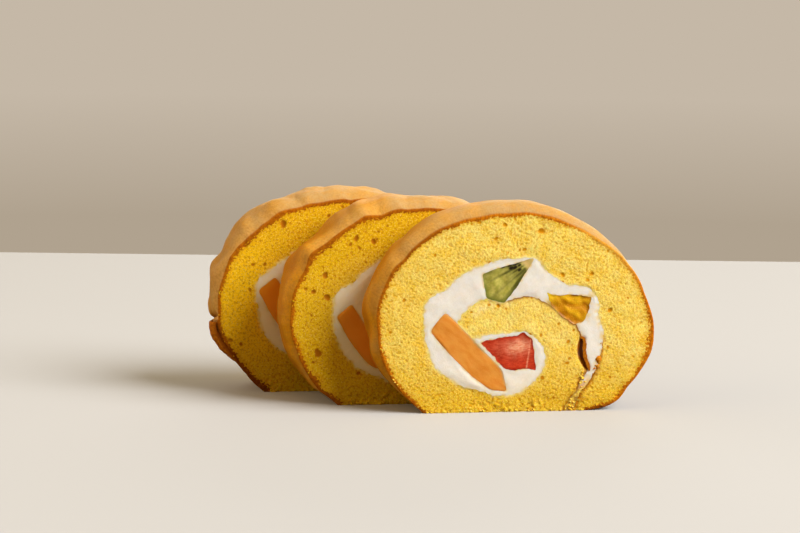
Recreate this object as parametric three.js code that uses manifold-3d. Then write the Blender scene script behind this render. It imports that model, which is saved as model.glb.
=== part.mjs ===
// Fruit swiss roll: three thick slices cut from one roll, which stand close together in a fanned row.
// Each slice is a rolled sheet of sponge, the cream in the turns of the roll, and four pieces of fruit that run
// through it. Millimetres; +Z up, the first slice's cut face looks along -Y, and the origin is under the row's middle.
import * as THREE from "three";
import { mergeVertices } from "three/addons/utils/BufferGeometryUtils.js";
import Module from "manifold-3d";

const wasm = await Module();
wasm.setup();

// ---- driving dimensions ----
const ROLL_WIDTH = 114; // across the roll, left to right
const ROLL_HEIGHT = 82; // from the flat foot to the top
const ROLL_MIDDLE = new THREE.Vector2(0, ROLL_HEIGHT * 0.46); // the angles of the crust are about this
const GAP = 0.3; // between pieces that touch
const LEAN = Math.tan(THREE.MathUtils.degToRad(4)); // the knife leans, so a face comes forward as it rises
const ROW_CENTRE = new THREE.Vector2(-29.2, 37); // middle of the row's box, from the first slice's foot

const RIM_STEPS = 96; // facets round the crust
const FOOT_STEPS = 10; // facets along the foot
const SWIRL_STEPS = 104; // facets round the cream
const CRUST_RINGS = 5; // rings of the crust through the thickness
const SLIVER = 0.02; // facets thinner than this are dropped
const SCRAP_VOLUME = 60; // a loose scrap smaller than this is dropped
const CUT_OVERRUN = 2; // how far a cutter passes the faces
const CREAM_FOOT = 0.4; // the cream in the seam stops this far above the foot
const SIDE_BULGE = 2.4; // the crust stands this proud of the cut edges half-way through a slice
const CROWN_BULGE = 2.2; // and this much more round CROWN_ANGLE
const CROWN_ANGLE = 120; // degrees from +X, over the top
const WRINKLE_LENGTH = 13.5; // one wrinkle of the crust, along the rim
const BULGE_BLEND = 26; // height over which the bulge grows from nothing at the foot
const WRINKLE_BLEND = 9; // and the same for the wrinkles and the drift of the swirl

// The roll's outer line over the top, from the left corner of the foot to its right corner.
const OUTER_LINE = [
  [-36.5, 0],
  [-45, 8],
  [-52, 18.5],
  [-56, 30.5],
  [-56, 42],
  [-51, 56.5],
  [-41, 68.5],
  [-26.5, 77.5],
  [9, 81],
  [41.5, 65.5],
  [51.5, 54],
  [56.5, 40],
  [57, 28],
  [47, 7],
  [39.5, 1.5],
  [31, 0],
];

// The turns of the roll: the line round the cream, from the seam under the roll, up the right side, over the top,
// down the left, round the middle, back over the inner coil and down to the seam again.
const SWIRL_LINE = [
  [23, -10],
  [27.5, 6.5],
  [34, 16],
  [37, 30.5],
  [35, 38],
  [34, 47],
  [29.5, 51],
  [20.5, 53],
  [12.5, 58],
  [6, 63.5],
  [-18.5, 59],
  [-29, 50.5],
  [-36.5, 45],
  [-31, 18],
  [-1, 7],
  [12, 17.5],
  [13, 24],
  [5, 33],
  [-18, 31.5],
  [-23.5, 37.5],
  [-13.5, 46.5],
  [-4, 46.5],
  [5.5, 48],
  [25.5, 35],
  [28, 30],
  [27, 24.5],
  [30.5, 17],
  [27, 10.5],
  [19, -10],
];

// ---- fruit, as corners on the cut face ----
const FRUIT = {
  strawberry: [
    [-14, 29],
    [-4.5, 31],
    [1.5, 31.5],
    [3.5, 33],
    [7, 30],
    [8.5, 24],
    [9.5, 17],
    [4.5, 18],
    [0.5, 17],
    [-4, 18.5],
    [-8.5, 23.5],
  ],
  kiwi: [
    [-14, 57],
    [-8.5, 59.5],
    [-2, 61],
    [7, 63.5],
    [4.5, 59],
    [0.5, 52],
    [-4.5, 45],
    [-12, 47.5],
    [-13, 52.5],
  ],
  citrus: [
    [12.5, 49.5],
    [17, 48],
    [24, 48],
    [31.5, 47.5],
    [31, 43],
    [28.5, 37],
    [24.5, 36],
    [19.5, 39.5],
    [15.5, 44],
  ],
};
const CORNER = 0.9; // rounding of their corners
const MELON_CORNER = 1.6;

// ---- the three slices ----
// at: foot middle of the front face; thick: along the roll; wave: depth of the fine wrinkles; phase: where its
// wrinkles start; lumps: folds of the crust as [degrees from +X, height, spread in degrees]; flap: height of the
// loose strip of crust; swirl: how its turns lie against the first slice's; melon: its own bar of melon; pieces:
// how the other fruit lies against the first slice's.
const SLICES = [
  {
    name: "front",
    at: [0, 0],
    thick: 20.6,
    wave: 0.25,
    phase: 0.4,
    flap: 0,
    lumps: [
      [174, 0.9, 8],
      [-172, -1.8, 7],
      [-8, 0.9, 7],
    ],
    swirl: {},
    melon: { centre: [-17.6, 24.6], tilt: -43.5, length: 39.5, width: 10.6 },
    pieces: {},
  },
  {
    name: "middle",
    at: [-32, 21.2],
    thick: 29.5,
    wave: 0.45,
    phase: 2.1,
    flap: 0,
    lumps: [
      [160, 0.9, 8],
      [143, -1.9, 6],
      [107, 1.1, 6],
      [86, -1.2, 9],
      [-150, 0.9, 8],
    ],
    swirl: { move: [-2.4, 1.3], turn: 0.4, scale: 0.98 },
    melon: { centre: [-26.5, 28.3], tilt: -54.5, length: 29, width: 8.6 },
    pieces: {
      strawberry: { move: [1.5, 0.5], turn: -14, scale: 0.94 },
      kiwi: { move: [4.2, -0.7], turn: 12, scale: 0.94 },
      citrus: { move: [-0.9, 0.5], turn: -7, scale: 0.95 },
    },
  },
  {
    name: "rear",
    at: [-58.8, 53.8],
    thick: 26,
    wave: 0.5,
    phase: 4.4,
    flap: 2.6,
    lumps: [
      [164, 1.4, 4],
      [157, -1.6, 3],
      [148, 1.6, 4],
      [131, 1.3, 8],
      [119, -0.7, 4],
      [105, 0.5, 8],
    ],
    swirl: { move: [-4.3, 2.8], turn: -2, scale: 0.97 },
    melon: { centre: [-26.5, 33], tilt: -55, length: 34, width: 9.8 },
    pieces: {
      strawberry: { move: [1.2, -0.6], turn: 8, scale: 0.9 },
      kiwi: { move: [-3.1, -0.2], turn: -10, scale: 0.93 },
      citrus: { move: [0.3, -0.8], turn: 7, scale: 0.92 },
    },
  },
];
const FLAP_TOP = 28; // the loose strip of crust starts at this height on the last slice's left side
const FLAP_LENGTH = 15;
const THROUGH_DRIFT = 1.6; // how far the swirl wanders from a slice's front face to its back

const FINISH = {
  sponge: { color: 0xf0c455, roughness: 0.95 },
  cream: { color: 0xf3ead9, roughness: 0.6 },
  melon: { color: 0xe8963a, roughness: 0.4 },
  strawberry: { color: 0xcf4530, roughness: 0.4 },
  kiwi: { color: 0xa9a44a, roughness: 0.4 },
  citrus: { color: 0xdb9720, roughness: 0.35 },
};

// ---- outlines ----
const toVectors = (pairs) => pairs.map(([x, z]) => new THREE.Vector2(x, z));

function curveThrough(knots, closed, steps) {
  const line = new THREE.CatmullRomCurve3(
    knots.map(([x, z]) => new THREE.Vector3(x, z, 0)),
    closed,
    "centripetal",
  );
  return line.getSpacedPoints(steps).map((p) => new THREE.Vector2(p.x, p.y));
}

function outerOutline() {
  const foot = new THREE.LineCurve(new THREE.Vector2(...OUTER_LINE.at(-1)), new THREE.Vector2(...OUTER_LINE[0]));
  return [...curveThrough(OUTER_LINE, false, RIM_STEPS), ...foot.getSpacedPoints(FOOT_STEPS).slice(1, -1)];
}

const swirlOutline = () => curveThrough(SWIRL_LINE, true, SWIRL_STEPS).slice(1);

// A closed outline through rounded corners.
function roundedOutline(corners, radius, bend = 2) {
  const points = [];
  corners.forEach((corner, i) => {
    const before = corners[(i + corners.length - 1) % corners.length];
    const after = corners[(i + 1) % corners.length];
    const cut = (other) =>
      corner.clone().lerp(other, Math.min(radius / corner.distanceTo(other), 0.45));
    points.push(...new THREE.QuadraticBezierCurve(cut(before), corner, cut(after)).getPoints(bend));
  });
  return points;
}

// A bar cut square at one end and tapered at the other, with a fuller lower side.
const MELON_BAR = [
  [-0.5, 0.48],
  [-0.475, -0.47],
  [-0.14, -0.6],
  [0.2, -0.6],
  [0.42, -0.5],
  [0.56, -0.1],
  [0.37, 0.36],
  [-0.07, 0.43],
];

function melonOutline({ centre, tilt, length, width }) {
  const corners = MELON_BAR.map(([along, across]) => [along * length, across * width]);
  const turned = toVectors(corners).map((p) => p.rotateAround(new THREE.Vector2(), THREE.MathUtils.degToRad(tilt)));
  return roundedOutline(
    turned.map((p) => p.add(new THREE.Vector2(...centre))),
    MELON_CORNER,
  );
}

// Moves an outline outwards, or inwards if distance is negative.
function offsetOutline(points, distance) {
  const side = THREE.ShapeUtils.area(points) > 0 ? 1 : -1;
  return points.map((p, i) => {
    const before = points[(i + points.length - 1) % points.length];
    const after = points[(i + 1) % points.length];
    const along = after.clone().sub(before).normalize();
    return new THREE.Vector2(p.x + side * along.y * distance, p.y - side * along.x * distance);
  });
}

const boxMiddle = (points) => new THREE.Box2().setFromPoints(points).getCenter(new THREE.Vector2());

// Turns, scales and shifts an outline about a middle.
function adjustOutline(points, middle, { move = [0, 0], turn = 0, scale = 1 } = {}) {
  const shift = new THREE.Vector2(...move);
  return points.map((p) =>
    p
      .clone()
      .sub(middle)
      .multiplyScalar(scale)
      .rotateAround(new THREE.Vector2(), THREE.MathUtils.degToRad(turn))
      .add(middle)
      .add(shift),
  );
}

// ---- solids ----
function prism(outline, thick, { overrun = 0, steps = 1 } = {}) {
  const settings = { depth: thick + 2 * overrun, steps, bevelEnabled: false };
  const geometry = new THREE.ExtrudeGeometry(new THREE.Shape(outline), settings);
  return geometry.rotateX(Math.PI / 2).translate(0, thick + overrun, 0);
}

function bend(geometry, move) {
  const position = geometry.getAttribute("position");
  const p = new THREE.Vector3();
  for (let i = 0; i < position.count; i++) {
    move(p.fromBufferAttribute(position, i));
    position.setXYZ(i, p.x, p.y, p.z);
  }
  return geometry;
}

function toSolid(geometry) {
  const bare = geometry.clone();
  bare.deleteAttribute("normal");
  bare.deleteAttribute("uv");
  const merged = mergeVertices(bare, 1e-4);
  const vertProperties = new Float32Array(merged.getAttribute("position").array);
  return new wasm.Manifold(new wasm.Mesh({ numProp: 3, vertProperties, triVerts: new Uint32Array(merged.index.array) }));
}

function toGeometry(solid) {
  const { vertProperties, triVerts } = solid.getMesh();
  const geometry = new THREE.BufferGeometry();
  geometry.setAttribute("position", new THREE.BufferAttribute(vertProperties, 3));
  geometry.setIndex(new THREE.BufferAttribute(triVerts, 1));
  return geometry;
}

// The separate bodies of a solid, largest first, without its scraps.
const wholePieces = (solid) =>
  solid
    .simplify(SLIVER)
    .decompose()
    .filter((piece) => piece.volume() > SCRAP_VOLUME)
    .sort((a, b) => b.volume() - a.volume());

const subtractAll = (solid, cutters) => cutters.reduce((rest, cutter) => rest.subtract(cutter), solid);

// How far the crust stands proud of the outer line: the bulge between the two cuts, the folds, the fine wrinkles
// and the loose flap. Angles are about the middle of the roll, and none of it reaches the foot.
function crustHeight(slice, angle, x, z, through) {
  const { degToRad, euclideanModulo, smoothstep } = THREE.MathUtils;
  const between = 1 - (2 * through - 1) ** 4;
  const crown = Math.max(0, Math.cos(angle - degToRad(CROWN_ANGLE)));
  const bulge = smoothstep(z, 0, BULGE_BLEND) * (SIDE_BULGE + CROWN_BULGE * crown) * between;
  const folds = slice.lumps.reduce((sum, [at, height, spread]) => {
    const off = euclideanModulo(angle - degToRad(at) + Math.PI, 2 * Math.PI) - Math.PI;
    return sum + height * Math.exp(-((off / degToRad(spread)) ** 2));
  }, 0);
  const wrinkles = (Math.PI * (ROLL_WIDTH + ROLL_HEIGHT)) / 2 / WRINKLE_LENGTH;
  const wave = (angle * wrinkles) / 2 + slice.phase + 1.1 * through + 0.5 * Math.sin(3 * angle);
  const below = FLAP_TOP - z;
  const onFlap = x < 0 && below > 0 ? Math.max(0, 1 - below / FLAP_LENGTH) * Math.min(1, below / 1.5) : 0;
  const relief = folds * (0.35 + 0.65 * between) + slice.wave * (2 * Math.abs(Math.sin(wave)) - 1) + slice.flap * onFlap;
  return bulge + smoothstep(z, 0, WRINKLE_BLEND) * relief;
}

function shapeCrust(slice) {
  return (p) => {
    const out = new THREE.Vector2(p.x / ROLL_WIDTH, (p.z - ROLL_MIDDLE.y) / ROLL_HEIGHT).normalize();
    const angle = Math.atan2(p.z - ROLL_MIDDLE.y, p.x);
    const proud = crustHeight(slice, angle, p.x, p.z, p.y / slice.thick);
    p.x += out.x * proud;
    p.z += out.y * proud;
  };
}

// How the swirl and its fruit wander from the front face to the back.
function shapeSwirl(slice) {
  return (p) => {
    const amount = THROUGH_DRIFT * (p.y / slice.thick);
    const rise = THREE.MathUtils.smoothstep(p.z, 0, WRINKLE_BLEND);
    const { x, z } = p;
    p.x += rise * amount * Math.sin(z / 13 + slice.phase);
    p.z += rise * amount * 0.7 * Math.sin(x / 15 + 1.7 * slice.phase);
  };
}

const lean = (p) => {
  p.y -= LEAN * p.z;
};

function makeSlice(slice) {
  const { thick } = slice;
  const swirled = (outline, overrun) =>
    toSolid(bend(bend(prism(outline, thick, { overrun }), shapeSwirl(slice)), lean));
  const crust = prism(outerOutline(), thick, { steps: CRUST_RINGS });
  const body = toSolid(bend(bend(crust, shapeCrust(slice)), lean));
  const withSwirl = (outline) => adjustOutline(outline, ROLL_MIDDLE, slice.swirl);
  const fruitOutlines = { melon: melonOutline(slice.melon) };
  for (const [kind, corners] of Object.entries(FRUIT)) {
    const outline = roundedOutline(toVectors(corners), CORNER);
    fruitOutlines[kind] = withSwirl(adjustOutline(outline, boxMiddle(outline), slice.pieces[kind]));
  }
  const fruit = {};
  const sockets = [];
  for (const [kind, outline] of Object.entries(fruitOutlines)) {
    fruit[kind] = subtractAll(swirled(outline), sockets);
    sockets.push(swirled(offsetOutline(outline, GAP), CUT_OVERRUN));
  }
  const swirl = withSwirl(swirlOutline());
  const cream = swirled(offsetOutline(swirl, -GAP)).trimByPlane([0, 0, 1], CREAM_FOOT);
  const solids = {
    sponge: subtractAll(body, [swirled(swirl, CUT_OVERRUN), ...sockets]),
    cream: subtractAll(cream, sockets),
    ...fruit,
  };
  const group = new THREE.Group();
  for (const [kind, solid] of Object.entries(solids)) {
    wholePieces(solid).forEach((piece, i) => {
      const mesh = new THREE.Mesh(toGeometry(piece), new THREE.MeshStandardMaterial(FINISH[kind]));
      mesh.name = i === 0 ? `${kind}_${slice.name}` : `${kind}_${slice.name}_${i + 1}`;
      group.add(mesh);
    });
  }
  group.position.set(slice.at[0] - ROW_CENTRE.x, slice.at[1] - ROW_CENTRE.y, 0);
  return group;
}

const roll = new THREE.Group();
SLICES.forEach((slice) => roll.add(makeSlice(slice)));

export default roll;
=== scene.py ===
"""Fruit swiss roll in three slices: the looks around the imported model.

Each slice is rebuilt as fine meshes in the form of the solids: the two cut faces are triangulated from the
same outlines, the crust runs between them, and crumb, wrinkles and cream marks are moved in the meshes.
Lengths in the making functions are millimetres; a mesh is scaled to metres when it is made.
"""

import math
from itertools import combinations
from types import SimpleNamespace

import bpy
import numpy as np
from mathutils import Matrix, Vector
from mathutils.geometry import delaunay_2d_cdt
from mathutils.kdtree import KDTree


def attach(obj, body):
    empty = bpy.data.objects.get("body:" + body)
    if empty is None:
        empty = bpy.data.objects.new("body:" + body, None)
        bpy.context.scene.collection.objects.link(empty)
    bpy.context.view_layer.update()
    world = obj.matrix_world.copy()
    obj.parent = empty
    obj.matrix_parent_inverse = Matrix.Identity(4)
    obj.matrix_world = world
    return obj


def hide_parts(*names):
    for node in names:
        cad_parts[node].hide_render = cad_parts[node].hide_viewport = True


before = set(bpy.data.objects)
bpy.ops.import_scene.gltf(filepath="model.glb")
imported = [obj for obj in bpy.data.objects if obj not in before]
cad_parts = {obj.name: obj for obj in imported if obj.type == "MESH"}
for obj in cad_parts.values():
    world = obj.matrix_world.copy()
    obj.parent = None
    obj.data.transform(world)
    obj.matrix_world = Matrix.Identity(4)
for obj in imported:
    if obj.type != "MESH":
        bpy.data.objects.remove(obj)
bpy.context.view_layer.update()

MM = 0.001
SHARP = math.radians(65)

# ---- camera ----
LENS = 108.0
SENSOR = 36
SEES_TO = 20
CAMERA_PLACE = Vector((-0.1748, -0.9762, 0.1856))
CAMERA_AZIMUTH = math.radians(9.5)
CAMERA_PITCH = math.radians(7.51)
CAMERA_ROLL = 0.0122

# ---- light and stage, in metres and 8-bit colours ----
LAMP_SIZE = 3.6
LAMPS = [  # name, place, power and colour
    ("key", (3.2, -2.3, 3.1), 474, (1.0, 0.985, 0.96)),
    ("fill", (-4.0, -0.9, 1.9), 58, (1.0, 0.76, 0.42)),
    ("back", (-3.4, 1.8, 0.6), 64, (1.0, 0.88, 0.7)),
    ("rear", (1.4, 4.2, 0.5), 110, (1.0, 0.93, 0.82)),
]
ROOM_COLOUR = (1.0, 0.77, 0.46)
ROOM_POWER = (0.10, 0.50)  # from below and from above
ROOM_RISE = (-0.1, 0.8)  # heights of a direction between which the room's light grows
WALL_RISE = (-0.11, -0.06)  # heights between which the wall that the camera sees turns from low to high
WALL_LOW = (176, 162, 143)
WALL_HIGH = (197, 184, 167)
FLOOR_COLOUR = (181, 182, 184)
FLOOR_BOUNCE = (84, 70, 48)  # what the floor throws back on the food, as the dull plate did
FLOOR_SIDE = 2.2
FLOOR_FRONT = -1.6
FLOOR_BACK = 0.46

# ---- the roll, as in the part's source ----
ROLL_WIDTH = 114.0
ROLL_HEIGHT = 82.0
MIDDLE = np.array([0.0, 0.46 * ROLL_HEIGHT])
LEAN = math.tan(math.radians(4.0))
ROW_CENTRE = (-29.2, 37.0)
SIDE_BULGE = 2.4
CROWN_BULGE = 2.2
CROWN_ANGLE = math.radians(120.0)
WRINKLE_LENGTH = 13.5
BULGE_BLEND = 26.0
WRINKLE_BLEND = 9.0
THROUGH_DRIFT = 1.6
FLAP_TOP = 30.6
FLAP_LENGTH = 17.0
FLAP_RAGGED = 1.3  # how uneven the flap's free edge is through the slice
FLAP_NOTCH = 2.6
FLAP_RECESS = 3.2  # how far the side goes in behind the flap, over the slice's depth
WAVE_SHARE = 0.35  # of the even wrinkles; uneven ones take their place
CORNER = 0.9
MELON_CORNER = 1.6

OUTER_LINE = [(-36.5, 0), (-45, 8), (-52, 18.5), (-56, 30.5), (-56, 42), (-51, 56.5), (-41, 68.5)]
OUTER_LINE += [(-26.5, 77.5), (9, 81), (41.5, 65.5), (51.5, 54), (56.5, 40), (57, 28), (47, 7), (39.5, 1.5)]
OUTER_LINE += [(31, 0)]

SWIRL_LINE = [(23, -10), (27.5, 6.5), (34, 16), (37, 30.5), (35, 38), (34, 47), (29.5, 51), (20.5, 53)]
SWIRL_LINE += [(12.5, 58), (6, 63.5), (-18.5, 59), (-29, 50.5), (-36.5, 45), (-31, 18), (-1, 7), (12, 17.5)]
SWIRL_LINE += [(13, 24), (5, 33), (-18, 31.5), (-23.5, 37.5), (-13.5, 46.5), (-4, 46.5), (5.5, 48)]
SWIRL_LINE += [(25.5, 35), (28, 30), (27, 24.5), (30.5, 17), (27, 10.5), (19, -10)]

FRUIT = {
    "strawberry": [(-14, 29), (-4.5, 31), (1.5, 31.5), (3.5, 33), (7, 30), (8.5, 24), (9.5, 17), (4.5, 18)]
    + [(0.5, 17), (-4, 18.5), (-8.5, 23.5)],
    "kiwi": [(-14, 57), (-8.5, 59.5), (-2, 61), (7, 63.5), (4.5, 59), (0.5, 52), (-4.5, 45), (-12, 47.5)]
    + [(-13, 52.5)],
    "citrus": [(12.5, 49.5), (17, 48), (24, 48), (31.5, 47.5), (31, 43), (28.5, 37), (24.5, 36)]
    + [(19.5, 39.5), (15.5, 44)],
}
MELON_BAR = [(-0.5, 0.48), (-0.475, -0.47), (-0.14, -0.6), (0.2, -0.6), (0.42, -0.5), (0.56, -0.1)]
MELON_BAR += [(0.37, 0.36), (-0.07, 0.43)]

# One slice each. spacing: of the points on the front and the back face. lumps and trim: unevenness of the
# crust, mostly between the cuts and right up to them, as (degrees round the roll, height, spread in
# degrees). The shares of painted shade: how deep orange-yellow the cut face is painted as in shade, all over,
# at its top and on its left; the share of painted light: how much brighter it is painted on the left. The
# crust's share of brown on the left is partly browned in the oven and partly painted shade; its crust is
# painted paler at the cuts above a given height, as painted light. rim: width of the browned line. bubbles:
# large holes of the crumb on both faces, as (x, z, radius, depth).
SLICES = [
    SimpleNamespace(
        name="front", seed=11, at=(0.0, 0.0), thick=20.6, spacing=(0.36, 0.6),
        wave=0.25, phase=0.4, relief=0.3, right_bulge=0.3, flap=0.0,
        amber=0.0, painted_shade_top=0.0, painted_shade_left=0.2, lift=0.0, browning_and_painted_shade=1.0, painted_light_from=50,
        rim_foot=0.2, rim_left=-0.1, rim_right=1.4,
        lumps=[(174, 0.9, 8), (-172, -1.8, 7), (-8, 0.9, 7)],
        trim=[(24, -0.5, 14), (-5, 0.8, 6), (-16, 1.0, 7), (-27, -0.6, 4), (153, 0.6, 4), (146, -0.5, 3)],
        swirl={},
        melon=dict(centre=(-17.6, 24.6), tilt=-43.5, length=39.5, width=10.6),
        pieces={},
        bubbles=[(9.5, 74.6, 1.5, 1.4), (-5.4, 77.1, 1.1, 1.0), (19.2, 56.5, 1.1, 1.2)]
        + [(31.2, 56.8, 1.0, 1.0), (39.3, 41.8, 1.2, 1.3), (-7.0, 43.9, 1.1, 1.6)],
    ),
    SimpleNamespace(
        name="middle", seed=23, at=(-32.0, 21.2), thick=29.5, spacing=(0.4, 0.6),
        wave=0.45, phase=2.1, relief=1.0, right_bulge=1.0, flap=0.0,
        amber=0.75, painted_shade_top=0.3, painted_shade_left=0.2, lift=0.15, browning_and_painted_shade=1.35, painted_light_from=52,
        rim_foot=0.6, rim_left=0.5, rim_right=0.2,
        lumps=[(157, -1.3, 6), (166, 0.8, 6), (143, -1.7, 7), (107, 1.1, 6), (86, -1.2, 9), (-150, 0.9, 8)],
        trim=[(156, 1.7, 5), (147, -0.4, 4), (120, 0.7, 3)],
        swirl=dict(move=(-2.4, 1.3), turn=0.4, scale=0.98),
        melon=dict(centre=(-26.5, 28.3), tilt=-54.5, length=29, width=8.6),
        pieces=dict(
            strawberry=dict(move=(1.5, 0.5), turn=-14, scale=0.94),
            kiwi=dict(move=(4.2, -0.7), turn=12, scale=0.94),
            citrus=dict(move=(-0.9, 0.5), turn=-7, scale=0.95),
        ),
        bubbles=[(-22.9, 68.0, 1.7, 1.6), (-30.1, 69.5, 1.3, 1.2), (-28.8, 65.6, 1.1, 1.1)]
        + [(-42.7, 54.8, 1.7, 1.6), (-50.4, 48.9, 1.1, 1.2), (-47.1, 47.6, 1.2, 1.2)]
        + [(-41.8, 45.6, 1.4, 1.3), (-44.9, 22.0, 1.8, 1.2)],
    ),
    SimpleNamespace(
        name="rear", seed=37, at=(-58.8, 53.8), thick=26.0, spacing=(0.45, 0.45),
        wave=0.5, phase=4.4, relief=1.0, right_bulge=1.0, flap=0.5,
        amber=0.85, painted_shade_top=0.4, painted_shade_left=0.0, lift=1.0, browning_and_painted_shade=0.25, painted_light_from=14,
        rim_foot=0.9, rim_left=0.5, rim_right=0.2,
        lumps=[(177, -1.3, 9), (164, 1.0, 4), (157, -3.3, 5), (148, 1.0, 4), (131, 1.3, 8)]
        + [(119, -0.7, 4), (105, 0.5, 8)],
        trim=[(157, 2.1, 6)],
        swirl=dict(move=(-4.3, 2.8), turn=-2, scale=0.97),
        melon=dict(centre=(-26.5, 33), tilt=-55, length=34, width=9.8),
        pieces=dict(
            strawberry=dict(move=(1.2, -0.6), turn=8, scale=0.9),
            kiwi=dict(move=(-3.1, -0.2), turn=-10, scale=0.93),
            citrus=dict(move=(0.3, -0.8), turn=7, scale=0.92),
        ),
        bubbles=[(-29.1, 71.9, 1.9, 1.8), (-45.3, 63.1, 1.8, 1.7), (-51.2, 22.7, 1.3, 1.1)]
        + [(-43.0, 44.0, 1.0, 0.9)],
    ),
]

# The browned skin inside the roll: on the outer side of the inner coil, and on the wall across the cream.
COIL_SKIN = [(-4, 47.0), (5.5, 48.2), (12.5, 45.6), (25.5, 35.2), (28, 30), (27, 24.5), (30.5, 17)]
COIL_SKIN += [(27, 10.5), (23, 0)]
WALL_SKIN = [(36.6, 28.6), (35.6, 22), (33.6, 15.6), (29, 8.8), (26, 3), (25, 0)]
# The gap beside the inner coil, the curl of loose skin in it, and the seam that runs down from it.
HOLLOW_LINE = [(28.3, 29.6), (27.6, 27.2), (27.7, 24.2), (28.8, 21.0), (30.6, 18.2)]
CURL_LINE = [(27.4, 30.7), (28.7, 30.2), (29.3, 28.2), (29.3, 25.4), (29.9, 22.0), (31.2, 18.8), (31.8, 16.6)]
SEAM_LINE = [(30.5, 16), (28, 10.5), (25.6, 5), (24.4, 0)]
FILM_LINE = [(-16, 42), (-10, 45.4), (-3, 46)]  # where cream is wiped over the crumb
TONGUE_LINE = [(-57.3, 30.6), (-57.3, 28.4), (-56.6, 25.4), (-54.9, 21.8), (-52.4, 18.3), (-49.8, 15.4)]
TONGUE_LINE += [(-47.6, 12.8)]
TONGUE_THICK = 2.2
TONGUE_DEPTHS = (-0.2, 0.1, 0.8, 2.0, 3.5, 5.0, 7.0, 9.0, 11.0, 13.0)
CURL_THICK = 1.5
CURL_DEPTHS = (-0.25, 0.0, 0.6)  # and the same from the back

EDGE = 0.42  # spacing of points along an outline
RING = 0.85  # spacing of rings through the crust
CUT_RINGS = (0.45, 1.0)  # closer rings next to a cut face
EVEN_RINGS = 1.8  # where the evenly spaced ones start
ROW_STEP = 0.866  # of the hexagons' rows
JITTER = 0.16
KEEP_OFF = 0.55  # share of the spacing that the points inside keep from an outline
ON_RIM = 0.01  # a point nearer to the outer outline than this lies on it
MATCH_GAP = 0.02  # at most, between a point at the front's edge and the one behind it
HOLLOW_WIDTH = 1.15
HOLLOW_DEPTH = 0.9
# the food in the gap is painted dark: browned skin with painted shade
HOLLOW_DARK = (0.12, 0.5)  # nearness to the gap between which the food turns dark
SMALL_BUBBLES = 60
BUBBLE_DEPTH = 0.2
FOOT_BITS = 70  # crumbs on one face: at the foot, on the left edge, in the seam and on its wall
LEFT_BITS = 14
LEFT_PLACES = [14, 47, 72, 96, 121]  # points of the outline that the crumbs on the left gather round
SEAM_BITS = 26
WALL_BITS = 40
CORE_PLACE = (5.0, 38.0)  # the closer crumb inside the inner coil
CORE_REACH = (23.0, 11.0)
BACK_PALER = 0.55  # the amber of a cut face in a neighbour's shade is less on its back
GRID = 0.12  # cell of the height maps
GRID_CORNER = np.array([-64.0, -4.0])
GRID_SIZE = (768, 1080)  # rows up, columns across
POLAR_SIZE = (1024, 2048)  # rows away from the roll's middle, columns round it
CRUST_GRID = 0.3
CRUST_GRID_SIZE = (128, 1024)  # rows through, columns round
RAY_GRID = 0.1  # cell of the noise that runs out from a fruit's middle

# Heights on the slice between which a look fades in or out.
FOOT_BROWN = (0.5, 5)
# painted shade on a cut face, stronger low down
FOOT_PAINTED_SHADE = (2, 30)
LOW_SIDE = (12, 44)
# painted shade on a cut face, stronger at its top
TOP_PAINTED_SHADE = (52, 70)

KIWI_CORE = (9.5, 65.0)
KIWI_TOP = -0.7  # height of the top edge against the core's middle, straight below it
KIWI_SEEDS = [(9.6, 196), (10.8, 200), (12.0, 196), (13.2, 199), (14.4, 197), (16.0, 198), (9.4, 207)]
KIWI_SEEDS += [(11.4, 207), (12.9, 205), (10.3, 217)]
CITRUS_TIP = (7.0, 55.0)


# ---- small mathematics ----
def rise(value, low, high):
    """Nought up to low, and one from high on."""
    t = unit((value - low) / (high - low))
    return t * t * (3 - 2 * t)


def fade(value, low, high):
    """One up to low, and nought from high on."""
    return 1 - rise(value, low, high)


def bell(value, width):
    return np.exp(-((value / width) ** 2))


def unit(value):
    return np.clip(value, 0, 1)


def soft_noise(size, widths, seed):
    """Smooth noise of unit spread on a periodic grid; widths are its softness in cells, down and across."""
    spectrum = np.fft.rfft2(np.random.default_rng(seed).standard_normal(size))
    down = np.fft.fftfreq(size[0])[:, None] * widths[0]
    across = np.fft.rfftfreq(size[1])[None, :] * widths[1]
    made = np.fft.irfft2(spectrum * np.exp(-2 * math.pi**2 * (down**2 + across**2)), size)
    return made / made.std()


def face_noise(width, seed):
    return soft_noise(GRID_SIZE, (width / GRID, width / GRID), seed)


def sample(grid, cell, across, down):
    """Reads a periodic grid between its cells."""
    rows, columns = grid.shape
    u, v = across / cell, down / cell
    i, j = np.floor(u).astype(int), np.floor(v).astype(int)
    a, b = u - i, v - j
    top = grid[j % rows, i % columns] * (1 - a) + grid[j % rows, (i + 1) % columns] * a
    low = grid[(j + 1) % rows, i % columns] * (1 - a) + grid[(j + 1) % rows, (i + 1) % columns] * a
    return top * (1 - b) + low * b


def sample_face(grid, x, z):
    return sample(grid, GRID, x - GRID_CORNER[0], z - GRID_CORNER[1])


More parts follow.
